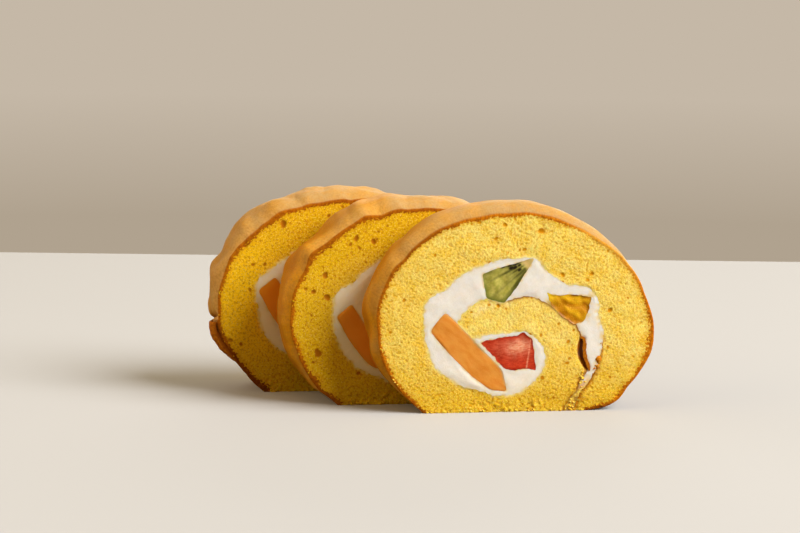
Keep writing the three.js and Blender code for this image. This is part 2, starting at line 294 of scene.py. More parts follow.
def curve_through(knots, closed, spacing):
    """Evenly spaced points on a centripetal Catmull-Rom curve."""
    knots = np.array(knots, float)
    count = len(knots)
    if closed:
        ring = np.vstack([knots[-1], knots, knots[0], knots[1]])
        spans = count
    else:
        ring = np.vstack([2 * knots[0] - knots[1], knots, 2 * knots[-1] - knots[-2]])
        spans = count - 1
    dense = []
    t = np.linspace(0, 1, 60, endpoint=False)[:, None]
    for k in range(spans):
        p0, p1, p2, p3 = ring[k : k + 4]
        d0, d1, d2 = (max(np.linalg.norm(b - a) ** 0.5, 1e-4) for a, b in ((p0, p1), (p1, p2), (p2, p3)))
        m1 = ((p1 - p0) / d0 - (p2 - p0) / (d0 + d1) + (p2 - p1) / d1) * d1
        m2 = ((p2 - p1) / d1 - (p3 - p1) / (d1 + d2) + (p3 - p2) / d2) * d1
        bend_2 = -3 * p1 + 3 * p2 - 2 * m1 - m2
        bend_3 = 2 * p1 - 2 * p2 + m1 + m2
        dense.append(p1 + m1 * t + bend_2 * t**2 + bend_3 * t**3)
    dense.append((ring[1] if closed else knots[-1])[None, :])
    return even(np.vstack(dense), spacing, closed)


def even(points, spacing, closed):
    steps = np.r_[0, np.cumsum(np.linalg.norm(np.diff(points, axis=0), axis=1))]
    count = max(3, int(round(steps[-1] / spacing)))
    places = np.linspace(0, steps[-1], count + 1)
    made = np.stack([np.interp(places, steps, points[:, k]) for k in (0, 1)], 1)
    return made[:-1] if closed else made


def rounded(corners, radius, spacing):
    """A closed outline through rounded corners, evenly spaced."""
    corners = np.array(corners, float)
    points = []
    t = np.linspace(0, 1, 9)[:, None]
    for k, corner in enumerate(corners):
        before, after = corners[k - 1], corners[(k + 1) % len(corners)]
        a = corner + (before - corner) * min(radius / np.linalg.norm(before - corner), 0.45)
        b = corner + (after - corner) * min(radius / np.linalg.norm(after - corner), 0.45)
        points.append((1 - t) ** 2 * a + 2 * t * (1 - t) * corner + t**2 * b)
    points.append(points[0][:1])
    return even(np.vstack(points), spacing, True)


def area(points):
    """Signed area of a closed outline, above zero if it runs anticlockwise."""
    x, z = points.T
    return 0.5 * float(np.sum(x * np.roll(z, -1) - z * np.roll(x, -1)))


def placement(middle, move=(0, 0), turn=0, scale=1):
    """The 3x3 matrix that scales and turns about a middle, then moves."""
    a = math.radians(turn)
    spin = scale * np.array([[math.cos(a), -math.sin(a)], [math.sin(a), math.cos(a)]])
    made = np.eye(3)
    made[:2, :2] = spin
    made[:2, 2] = np.array(middle) + np.array(move) - spin @ np.array(middle)
    return made


def apply(matrix, points):
    return points @ matrix[:2, :2].T + matrix[:2, 2]


def ruffle(points, fine, broad, seed):
    """Makes a closed outline uneven, as torn crumb or spread cream is."""
    count = len(points)
    ahead = np.roll(points, -1, 0) - np.roll(points, 1, 0)
    side = np.stack([ahead[:, 1], -ahead[:, 0]], 1) / np.linalg.norm(ahead, axis=1)[:, None]
    small = soft_noise((4, count), (1, 1.1), seed)[0]
    large = soft_noise((4, count), (1, 5.0), seed + 1)[0]
    return points + side * (fine * small + broad * large)[:, None]


def tree_of(points):
    made = KDTree(len(points))
    for k, (x, z) in enumerate(points):
        made.insert((x, z, 0), k)
    made.balance()
    return made


def nearest(tree, points):
    found = [tree.find((x, z, 0)) for x, z in points]
    return np.array([f[2] for f in found]), np.array([f[1] for f in found])


# ---- the outlines of one slice ----
def outlines(piece):
    """The closed outlines of a slice, and the placement of each fruit in it."""
    rim = piece.rim = curve_through(OUTER_LINE, False, EDGE)
    piece.rim_tree = tree_of(rim)
    foot = even(np.array([rim[-1], rim[0]]), EDGE, False)[1:-1]
    piece.place = placement(MIDDLE, **piece.swirl)
    swirl = ruffle(curve_through(SWIRL_LINE, True, EDGE), 0.16, 0.22, piece.seed)
    loops = {"outer": np.vstack([rim, foot]), "swirl": apply(piece.place, swirl)}
    places = {}
    melon = piece.melon
    turn = placement((0, 0), melon["centre"], melon["tilt"])
    bar = np.array(MELON_BAR) * (melon["length"], melon["width"])
    loops["melon"] = ruffle(rounded(apply(turn, bar), MELON_CORNER, EDGE), 0.02, 0.06, piece.seed + 3)
    places["melon"] = turn
    for k, (kind, corners) in enumerate(FRUIT.items()):
        line = rounded(corners, CORNER, EDGE)
        middle = (line.min(0) + line.max(0)) / 2
        place = piece.place @ placement(middle, **piece.pieces.get(kind, {}))
        rough = 1 if kind == "kiwi" else 2
        loops[kind] = apply(place, ruffle(line, 0.06 * rough, 0.1 * rough, piece.seed + 5 + k))
        places[kind] = place
    return loops, places


def hexagons(low, high, spacing, seed):
    across = np.arange(low[0], high[0], spacing)
    up = np.arange(low[1], high[1], spacing * ROW_STEP)
    x, z = np.meshgrid(across, up)
    x = x + (np.arange(len(up)) % 2)[:, None] * spacing / 2
    points = np.stack([x.ravel(), z.ravel()], 1)
    return points + np.random.default_rng(seed).uniform(-JITTER, JITTER, points.shape) * spacing


def triangulate(loops, spacing, seed):
    """Points, triangles and the set of outlines that hold each triangle."""
    names = list(loops)
    fixed = np.vstack([loops[n] for n in names])
    inside = hexagons(loops["outer"].min(0) - 1, loops["outer"].max(0) + 1, spacing, seed)
    gap, _ = nearest(tree_of(fixed), inside)
    inside = inside[gap > KEEP_OFF * spacing]
    polygons, start = [], 0
    for n in names:
        ring = list(range(start, start + len(loops[n])))
        polygons.append(ring if area(loops[n]) > 0 else ring[::-1])
        start += len(loops[n])
    vertices = [Vector(p) for p in np.vstack([fixed, inside])]
    points, _, faces, _, _, holders = delaunay_2d_cdt(vertices, [], polygons, 1, 1e-5)
    keep, regions = [], []
    for face, holder in zip(faces, holders):
        inner = {names[h] for h in holder}
        if "outer" not in inner or len(face) != 3:
            continue
        fruit = [n for n in ("melon", "strawberry", "kiwi", "citrus") if n in inner]
        regions.append(fruit[0] if fruit else "cream" if "swirl" in inner else "sponge")
        keep.append(face)
    return np.array([(p.x, p.y) for p in points]), np.array(keep), np.array(regions)


def open_edges(triangles):
    """The directed edges that only one triangle has."""
    edges = np.vstack([triangles[:, [0, 1]], triangles[:, [1, 2]], triangles[:, [2, 0]]])
    have = set(map(tuple, edges.tolist()))
    return [(a, b) for a, b in have if (b, a) not in have]


def stitch(left, right, out):
    """Joins two columns of (depth, vertex), front to back, with triangles."""
    i = j = 0
    while i < len(left) - 1 or j < len(right) - 1:
        if j == len(right) - 1 or (i < len(left) - 1 and left[i + 1][0] <= right[j + 1][0]):
            out.append((right[j][1], left[i][1], left[i + 1][1]))
            i += 1
        else:
            out.append((right[j][1], left[i][1], right[j + 1][1]))
            j += 1


def solid(front, back, region, piece):
    """The closed mesh of one region between the two faces: flat places, depths and triangles."""
    thick = piece.thick
    points_f, tris_f = front[0], front[1][front[2] == region]
    points_b, tris_b = back[0], back[1][back[2] == region]
    used_f, used_b = np.unique(tris_f), np.unique(tris_b)
    map_f = {v: k for k, v in enumerate(used_f)}
    map_b = {v: k + len(used_f) for k, v in enumerate(used_b)}
    places = [*points_f[used_f], *points_b[used_b]]
    depths = [0.0] * len(used_f) + [thick] * len(used_b)
    triangles = [(map_f[a], map_f[b], map_f[c]) for a, b, c in tris_f]
    triangles += [(map_b[a], map_b[c], map_b[b]) for a, b, c in tris_b]
    edges = open_edges(tris_f)
    edge_b = sorted({v for e in open_edges(tris_b) for v in e})
    behind = tree_of(points_b[edge_b])
    middle = np.linspace(EVEN_RINGS, thick - EVEN_RINGS, int(round((thick - 2 * EVEN_RINGS) / RING)) + 1)
    fine = [*CUT_RINGS, *middle, *(thick - depth for depth in CUT_RINGS[::-1])]
    columns = {}
    for v in sorted({v for e in edges for v in e}):
        x, z = points_f[v]
        _, match, gap = behind.find((x, z, 0))
        if gap > MATCH_GAP:
            raise ValueError(f"{region}: no point behind {x:.2f}, {z:.2f}")
        on_rim = region == "sponge" and piece.rim_tree.find((x, z, 0))[2] < ON_RIM
        column = [(0.0, map_f[v])]
        for depth in fine if on_rim else ():
            column.append((depth, len(places)))
            places.append((x, z))
            depths.append(depth)
        column.append((thick, map_b[edge_b[match]]))
        columns[v] = column
    for a, b in edges:
        stitch(columns[a], columns[b], triangles)
    return np.array(places), np.array(depths), np.array(triangles)


# ---- form ----
def flap_top(through):
    return FLAP_TOP + FLAP_RAGGED * (np.sin(7 * through + 0.6) + 0.6 * np.sin(19 * through))


def crust_height(at):
    """How far the crust stands out from the outline."""
    piece, x, z, angle, through = at.piece, at.x, at.z, at.angle, at.through
    between = 1 - (2 * through - 1) ** 4
    crown = np.maximum(0, np.cos(angle - CROWN_ANGLE))
    bulge = rise(z, 0, BULGE_BLEND) * (SIDE_BULGE + CROWN_BULGE * crown) * between
    bulge = bulge * (1 - (1 - piece.right_bulge) * rise(x, 30, 52))

    def folds_of(rows):
        made = 0
        for middle, height, spread in rows:
            drift = 0.07 * np.sin(3.1 * through + middle)
            off = (angle - math.radians(middle) + math.pi - drift) % (2 * math.pi) - math.pi
            made = made + height * bell(off, math.radians(spread))
        return made

    wrinkles = math.pi * (ROLL_WIDTH + ROLL_HEIGHT) / 2 / WRINKLE_LENGTH
    wave = angle * wrinkles / 2 + piece.phase + 1.1 * through + 0.5 * np.sin(3 * angle)
    below = flap_top(through) - z
    on_flap = np.maximum(0, 1 - below / FLAP_LENGTH) * np.minimum(1, below / 1.5) * ((x < 0) & (below > 0))
    on_flap = on_flap * (1 - 0.6 * rise(through, 0.3, 0.9))
    notch = bell(below - 0.4, FLAP_NOTCH) * ((x < 0) & (below < 0.4)) * (piece.flap > 0)
    bulge = bulge * (1 - 0.95 * notch)
    relief = folds_of(piece.lumps) * (0.35 + 0.65 * between) + folds_of(piece.trim)
    relief = relief + WAVE_SHARE * piece.wave * (2 * np.abs(np.sin(wave)) - 1)
    if piece.flap:
        relief = relief - FLAP_RECESS * through * rise(below, -FLAP_NOTCH, 0.4) * (x < 0)
    return bulge + rise(z, 0, WRINKLE_BLEND) * (relief + piece.flap * on_flap)


def face_grid():
    rows, columns = np.mgrid[0 : GRID_SIZE[0], 0 : GRID_SIZE[1]]
    return columns * GRID + GRID_CORNER[0], rows * GRID + GRID_CORNER[1]


def radial_noise(across, outward, seed):
    """Noise on the face grid that is stretched away from the roll's middle, and even-grained near it."""
    x, z = face_grid()
    x = x - MIDDLE[0]
    z = (z - MIDDLE[1]) * ROLL_WIDTH / ROLL_HEIGHT
    reach = np.hypot(x, z)
    ring = (np.arctan2(z, x) / (2 * math.pi) % 1) * POLAR_SIZE[1] * GRID
    polar = sample(soft_noise(POLAR_SIZE, (outward / GRID, across / GRID), seed), GRID, ring, reach)
    share = rise(reach, 20, 32)
    made = share * polar + (1 - share) * face_noise((across + outward) / 2, seed + 1)
    return made / made.std()


def crumb_grain(across, outward, seed):
    """Radial noise without its broad part."""
    made = radial_noise(across, outward, seed) - 0.5 * radial_noise(2 * across, 2 * outward, seed)
    return made / made.std()


def crumb_maps(piece):
    """Depth of the open crumb with its large bubbles, how much of it is pore, and the painted shade in the
    bubbles, on the face grid.
    """
    seed = piece.seed
    openness = 0.22 * face_noise(3.5, seed + 42)
    small = rise(crumb_grain(0.19, 0.25, seed + 40), 0.0 - openness, 2.0)
    large = rise(crumb_grain(0.29, 0.4, seed + 41), 0.6 - openness, 2.4)
    pores = unit(0.5 * small + 0.95 * large)
    depth = 0.05 * small + 0.15 * large
    depth = depth + 0.02 * face_noise(0.2, seed + 43) + 0.07 * face_noise(2.2, seed + 44)
    x, z = face_grid()
    rng = np.random.default_rng(seed + 45)
    holes = list(piece.bubbles)
    for _ in range(SMALL_BUBBLES):
        size = rng.uniform(0.45, 0.85)
        holes.append((rng.uniform(-56, 56), rng.uniform(2, 80), size, 0.7 * size))
    hollow = np.zeros(GRID_SIZE)
    bubble_painted_shade = np.zeros(GRID_SIZE)
    wobble = 0.2 * face_noise(0.5, seed + 46)
    for cx, cz, radius, deep in holes:
        near = (np.abs(x - cx) < 2 * radius) & (np.abs(z - cz) < 2 * radius)
        turn = rng.uniform(0, math.pi)
        u = (x[near] - cx) * math.cos(turn) + (z[near] - cz) * math.sin(turn)
        v = (z[near] - cz) * math.cos(turn) - (x[near] - cx) * math.sin(turn)
        r = np.sqrt((u / radius) ** 2 + (v / (0.75 * radius)) ** 2) + wobble[near]
        hollow[near] = np.maximum(hollow[near], BUBBLE_DEPTH * deep * unit(1 - r**2))
        # painted shade over the whole bubble, soft at its edge
        bubble_painted_shade[near] = np.maximum(bubble_painted_shade[near], unit(1.4 * (1.3 - r**2)))
    return (1 - 0.6 * piece.amber) * depth + hollow, pores, bubble_painted_shade


class Points:
    """Points of one slice: flat places, and depths behind its front face."""

    def __init__(self, piece, places, depths):
        self.piece, self.places, self.depths = piece, places, depths
        self.x, self.z = places.T
        self.through = depths / piece.thick
        self.angle = np.arctan2(self.z - MIDDLE[1], self.x)
        self.rim_gap, self.rim_index = nearest(piece.rim_tree, places)

    def noise(self, width, seed):
        return sample_face(face_noise(width, self.piece.seed + seed), self.x, self.z)

    def near(self, line, width):
        """One on a line inside the roll, less away from it."""
        dense = apply(self.piece.place, curve_through(line, False, 0.25))
        return bell(nearest(tree_of(dense), self.places)[0], width)

    def moved(self, sunk):
        """Millimetres in the row frame; sunk is how far a cut face is sunk at each point."""
        piece, x, z, depths = self.piece, self.x, self.z, self.depths
        out = np.stack([x / ROLL_WIDTH, (z - MIDDLE[1]) / ROLL_HEIGHT], 1)
        out /= np.maximum(np.linalg.norm(out, axis=1), 1e-6)[:, None]
        above_foot = rise(z, 0, WRINKLE_BLEND)
        wrinkle = sample(piece.crust_map, CRUST_GRID, self.rim_index * EDGE, depths)
        proud = crust_height(self) + above_foot * wrinkle * np.where(self.rim_gap < ON_RIM, 1, 0.6)
        hold = bell(self.rim_gap, 5.0)
        free = rise(self.rim_gap, 0, 9) * above_foot * THROUGH_DRIFT * self.through
        new_x = x + out[:, 0] * proud * hold + free * np.sin(z / 13 + piece.phase)
        new_z = z + out[:, 1] * proud * hold + free * 0.7 * np.sin(x / 15 + 1.7 * piece.phase)
        y = depths + np.where(depths == 0, sunk, 0) - np.where(depths == piece.thick, sunk, 0) - LEAN * new_z
        return np.stack([new_x + piece.at[0] - ROW_CENTRE[0], y + piece.at[1] - ROW_CENTRE[1], new_z], 1)


def make(name, kind, points, triangles, attributes, nodes=()):
    """One visible piece, with the material of a kind of food; it stands for the nodes named."""
    mesh = bpy.data.meshes.new(name)
    mesh.from_pydata((points * MM).tolist(), [], triangles.tolist())
    mesh.polygons.foreach_set("use_smooth", np.ones(len(mesh.polygons), bool))
    for key, values in attributes.items():
        values = np.asarray(values, np.float32)
        sort, put = ("FLOAT", "value") if values.ndim == 1 else ("FLOAT_VECTOR", "vector")
        mesh.attributes.new(key, sort, "POINT").data.foreach_set(put, values.ravel())
    mesh.set_sharp_from_angle(angle=SHARP)
    mesh.materials.append(MATERIALS[kind])
    made = bpy.data.objects.new(name, mesh)
    bpy.context.scene.collection.objects.link(made)
    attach(made, "root")
    if nodes:
        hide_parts(*nodes)


# ---- materials ----
def rgb(*levels):
    """A linear colour from three levels of 0 to 255."""
    parts = (level / 255 for level in levels)
    return tuple(p / 12.92 if p <= 0.04045 else ((p + 0.055) / 1.055) ** 2.4 for p in parts)


class Shader:
    """A node tree with short calls for its nodes."""

    def __init__(self, name, owners=bpy.data.materials, body="Principled BSDF"):
        self.owner = owners.new(name)
        self.owner.use_nodes = True
        self.tree = self.owner.node_tree
        self.body = self.tree.nodes[body]

    def put(self, socket, value):
        if isinstance(value, bpy.types.NodeSocket):
            self.tree.links.new(value, socket)
        elif socket.type == "RGBA":
            socket.default_value = (*value, 1)
        else:
            socket.default_value = value

    def node(self, kind, output, inputs, **settings):
        """Adds a node, sets or links its inputs, and gives one of its outputs."""
        made = self.tree.nodes.new("ShaderNode" + kind)
        for key, value in settings.items():
            setattr(made, key, value)
        for key, value in inputs.items():
            self.put(made.inputs[key], value)
        return made.outputs[output]

    def attribute(self, name, output="Fac"):
        return self.node("Attribute", output, {}, attribute_name=name)

    def math(self, operation, a, b, clamp=False):
        return self.node("Math", 0, {0: a, 1: b}, operation=operation, use_clamp=clamp)

    def range(self, value, low, high, start=0.0, end=1.0, ease="SMOOTHSTEP"):
        ends = {"From Min": low, "From Max": high, "To Min": start, "To Max": end}
        return self.node("MapRange", 0, {"Value": value, **ends}, interpolation_type=ease)

    def noise(self, vector, scale, detail, roughness=0.5, stretch=None):
        if stretch:
            vector = self.node("Mapping", 0, {"Vector": vector, "Scale": stretch})
        looks = {"Scale": scale, "Detail": detail, "Roughness": roughness}
        return self.node("TexNoise", "Fac", {"Vector": vector, **looks})

    def mix(self, factor, a, b):
        return self.node("Mix", 2, {0: factor, 6: a, 7: b}, data_type="RGBA")

    def lay(self, colour, **layers):
        """Lays one colour after the other on top, each as much as the attribute of that name says."""
        for name, layer in layers.items():
            colour = self.mix(self.attribute(name), colour, layer)
        return colour

    def finish(self, colour, roughness, height=None, distance=0, soft=None, gloss=None):
        """height and distance are the bump's; soft is light that passes into food: weight, radii, scale."""
        sockets = {"Base Color": colour, "Roughness": roughness}
        if height is not None:
            relief = {"Height": height, "Strength": 1.0, "Distance": distance * MM}
            sockets["Normal"] = self.node("Bump", 0, relief)
        if soft:
            sockets["Subsurface Weight"], sockets["Subsurface Radius"], scale = soft
            sockets["Subsurface Scale"] = scale * MM
        if gloss is not None:
            sockets["Specular IOR Level"] = gloss
        for key, value in sockets.items():
            self.put(self.body.inputs[key], value)
        return self.owner


CRUMB_PALE = rgb(255, 232, 124)
CRUMB_BODY = rgb(253, 214, 80)
CRUMB_DEEP = rgb(218, 160, 8)
# the crumb painted as in shade, and its specks and pores painted as in shade
CRUMB_PAINTED_SHADE = rgb(232, 189, 12)
CRUMB_DEEP_PAINTED_SHADE = rgb(202, 138, 0)
# the crumb's colour where it is painted as lit
CRUMB_LIT = rgb(255, 206, 6)
CRUMB_BRIGHT = rgb(255, 242, 168)
CRUMB_GLINT = rgb(250, 222, 98)
# the bubbles painted as in shade, deeper on the back slices
BUBBLE_PAINTED_SHADE = rgb(212, 146, 10)
BUBBLE_DEEPER_PAINTED_SHADE = rgb(178, 108, 4)
SKIN_LINE = rgb(206, 122, 4)
SKIN_MOTTLE = rgb(158, 82, 0)
SKIN_DARK = rgb(112, 50, 2)
CRUST_PALE = rgb(181, 147, 95)
CRUST_TAN = rgb(185, 142, 78)
# brown of the crust, also standing for painted shade on the left and low down; then the crust painted as in
# shade deeper in from the cuts, and painted as lit at the cuts
CRUST_BROWN = rgb(220, 152, 6)
CRUST_DEEP = rgb(190, 120, 0)
CRUST_PAINTED_LIGHT = rgb(228, 176, 92)
CRUST_SHADE = rgb(168, 116, 44)
CREAM = rgb(241, 238, 233)


def crumb_colour(s, flat):
    """Pale yellow crumb with darker specks and pale flecks, darkened in its pores as painted shade, and
    turned a deeper orange-yellow where painted shade lies on the face.
    """
    # the share of painted shade, which turns the crumb a deeper orange-yellow
    amber = s.attribute("amber")
    crumb = s.mix(s.range(s.noise(flat, 0.22, 3), 0.3, 0.72), CRUMB_PALE, CRUMB_BODY)
    crumb = s.mix(amber, crumb, CRUMB_PAINTED_SHADE)
    # painted light on the left of the cut face
    crumb = s.lay(crumb, lift=CRUMB_LIT)
    deep = s.mix(amber, CRUMB_DEEP, CRUMB_DEEP_PAINTED_SHADE)
    specks = s.noise(flat, 1.05, 2, 0.6, (1.0, 0.8, 1.0))
    crumb = s.mix(s.range(specks, 0.49, 0.63, 0, s.range(amber, 0, 1, 0.5, 0.88)), crumb, deep)
    flecks = s.noise(flat, 1.7, 2, 0.6)
    glint = s.mix(amber, CRUMB_BRIGHT, CRUMB_GLINT)
    crumb = s.mix(s.range(flecks, 0.52, 0.68, 0, s.range(amber, 0, 1, 0.5, 0.8)), crumb, glint)
    # painted shade in the pores
    open_share = s.math("MULTIPLY", s.attribute("painted_pore_shade"), s.range(amber, 0, 1, 0.75, 0.6), True)
    return s.mix(open_share, crumb, deep)


def sponge_material():
    s = Shader("sponge_crumb")
    flat = s.attribute("flat", "Vector")
    round_ = s.attribute("round", "Vector")
    on_crust = s.attribute("crust")
    # painted light on the left of the cut face, laid again over the specks
    crumb = s.mix(s.range(s.attribute("lift"), 0, 1, 0, 0.14), crumb_colour(s, flat), CRUMB_LIT)
    # cream wiped over the crumb, and painted shade in the bubbles
    crumb = s.lay(crumb, smear=rgb(252, 230, 158), hollow=s.mix(s.attribute("amber"), BUBBLE_PAINTED_SHADE, BUBBLE_DEEPER_PAINTED_SHADE))
    ragged = s.range(s.noise(flat, 1.1, 1.5, 0.5), 0.3, 0.7, -0.4, 0.4)
    rim = s.math("ADD", s.attribute("rim"), ragged)
    crumb = s.mix(s.range(rim, 1.0, 2.2, 0.55, 0.0), crumb, CRUMB_DEEP)
    skin = s.mix(s.range(s.noise(flat, 0.8, 3, 0.65), 0.38, 0.64, 0, 0.8), SKIN_LINE, SKIN_MOTTLE)
    # the darker skin: browned darker, with painted shade in the gap and on the line at the cut
    skin = s.lay(skin, burnt=SKIN_DARK)
    line = s.range(rim, 0.85, 1.1, 1.0, 0.0)
    crumb = s.mix(s.math("MULTIPLY", line, s.range(s.attribute("faint"), 0, 1, 1.0, 0.0)), crumb, skin)
    mottle = s.noise(round_, 0.13, 3, 0.55)
    blotch = s.noise(round_, 0.45, 3, 0.6)
    crust = s.mix(s.range(mottle, 0.38, 0.62), CRUST_PALE, CRUST_TAN)
    crust = s.mix(s.range(blotch, 0.5, 0.8, 0, 0.35), crust, CRUST_BROWN)
    # browned in the oven with painted shade, painted shade deeper in from the cuts, painted light at the cuts
    crust = s.lay(crust, baked=CRUST_BROWN, shaded=CRUST_DEEP, front=CRUST_PAINTED_LIGHT)
    crust = s.mix(s.range(s.noise(round_, 0.95, 3, 0.65), 0.4, 0.66, 0, 0.36), crust, CRUST_SHADE)
    crust = s.lay(crust, burnt=SKIN_DARK)
    colour = s.lay(s.mix(on_crust, crumb, crust), skin=skin)
    grain = s.math("MULTIPLY", s.noise(flat, 2.4, 3, 0.6), s.range(on_crust, 0, 1, 0.14, 0.0))
    leather = s.math("MULTIPLY", s.noise(round_, 1.1, 4, 0.6), s.range(on_crust, 0, 1, 0.0, 0.22))
    roughness = s.range(on_crust, 0, 1, 0.95, 0.6)
    return s.finish(colour, roughness, s.math("ADD", grain, leather), 1, (0.35, (1.0, 0.55, 0.2), 1.3), 0.12)


def cream_material():
    s = Shader("whipped_cream")
    flat = s.attribute("flat", "Vector")
    colour = s.mix(s.range(s.noise(flat, 0.3, 3), 0.35, 0.7), CREAM, rgb(242, 236, 226))
    # painted shade on the cream: on the back slices, and low down
    colour = s.mix(s.range(s.attribute("amber"), 0, 1, 0, 0.6), colour, rgb(255, 230, 178))
    colour = s.lay(colour, stain=rgb(222, 168, 120), tinge=rgb(246, 208, 104), crumbed=crumb_colour(s, flat))
    colour = s.lay(colour, burnt=SKIN_DARK)
    return s.finish(colour, 0.6, s.noise(flat, 1.4, 4, 0.6), 0.05, (0.5, (1.0, 0.85, 0.65), 1.6))


def melon_material():
    s = Shader("melon_flesh")
    local = s.attribute("local", "Vector")
    streaks = s.noise(local, 0.5, 3, 0.5, (0.35, 1.0, 1.0))
    fine = s.noise(local, 3.0, 3, 0.6)
    colour = s.mix(s.range(streaks, 0.35, 0.7), rgb(238, 162, 66), rgb(230, 144, 44))
    colour = s.mix(s.range(fine, 0.52, 0.74, 0, 0.42), colour, rgb(250, 190, 116))
    # painted shade on the melon of the back slices
    colour = s.lay(colour, edge=rgb(214, 112, 34), amber=rgb(255, 158, 6), film=rgb(250, 226, 176))
    return s.finish(colour, s.range(fine, 0.3, 0.8, 0.28, 0.5), fine, 0.12, (0.5, (1.0, 0.5, 0.2), 2.0))


def strawberry_material():
    s = Shader("strawberry_flesh")
    local = s.attribute("local", "Vector")
    rays = s.noise(local, 0.9, 3, 0.6, (0.5, 1.5, 1.0))
    colour = s.mix(s.range(rays, 0.35, 0.7), rgb(211, 68, 32), rgb(187, 42, 20))
    pale = s.mix(s.range(rays, 0.35, 0.65), rgb(242, 184, 150), rgb(228, 126, 88))
    colour = s.lay(colour, pale=pale, edge=rgb(168, 22, 18))
    return s.finish(colour, 0.3, s.noise(local, 2.2, 3, 0.6), 0.15, (0.45, (1.0, 0.3, 0.2), 1.6))


def kiwi_material():
    s = Shader("kiwi_flesh")
    local = s.attribute("local", "Vector")
    colour = s.mix(s.range(s.noise(local, 0.7, 3), 0.3, 0.7), rgb(204, 194, 100), rgb(172, 168, 72))
    colour = s.lay(colour, edge=rgb(104, 112, 32), streak=rgb(92, 92, 34))
    colour = s.lay(colour, core=rgb(226, 198, 126), seed=rgb(34, 26, 18))
    return s.finish(colour, 0.3, s.noise(local, 2.4, 3, 0.6), 0.12, (0.4, (0.8, 1.0, 0.3), 1.4))


def citrus_material():
    s = Shader("orange_segment")
    local = s.attribute("local", "Vector")
    glints = s.noise(local, 1.6, 3, 0.6)
    colour = s.mix(s.attribute("pulp"), rgb(255, 206, 34), rgb(204, 136, 6))
    colour = s.mix(s.range(glints, 0.55, 0.75, 0, 0.5), colour, rgb(255, 214, 90))
    colour = s.lay(colour, edge=rgb(158, 92, 12))
    return s.finish(colour, 0.34, glints, 0.2, (0.5, (1.0, 0.6, 0.15), 2.0), 0.3)


def skin_material():
    s = Shader("browned_skin")
    tone = s.noise(s.attribute("flat", "Vector"), 0.9, 4, 0.6)
    colour = s.mix(s.range(tone, 0.35, 0.7), rgb(226, 140, 26), rgb(170, 96, 8))
    colour = s.lay(colour, burnt=rgb(124, 56, 0), inward=CRUST_SHADE)
    return s.finish(colour, 0.8, tone, 0.3, gloss=0.08)


MATERIALS = {
    "sponge": sponge_material(),
    "cream": cream_material(),
    "melon": melon_material(),
    "strawberry": strawberry_material(),
    "kiwi": kiwi_material(),
    "citrus": citrus_material(),
    "skin": skin_material(),
}


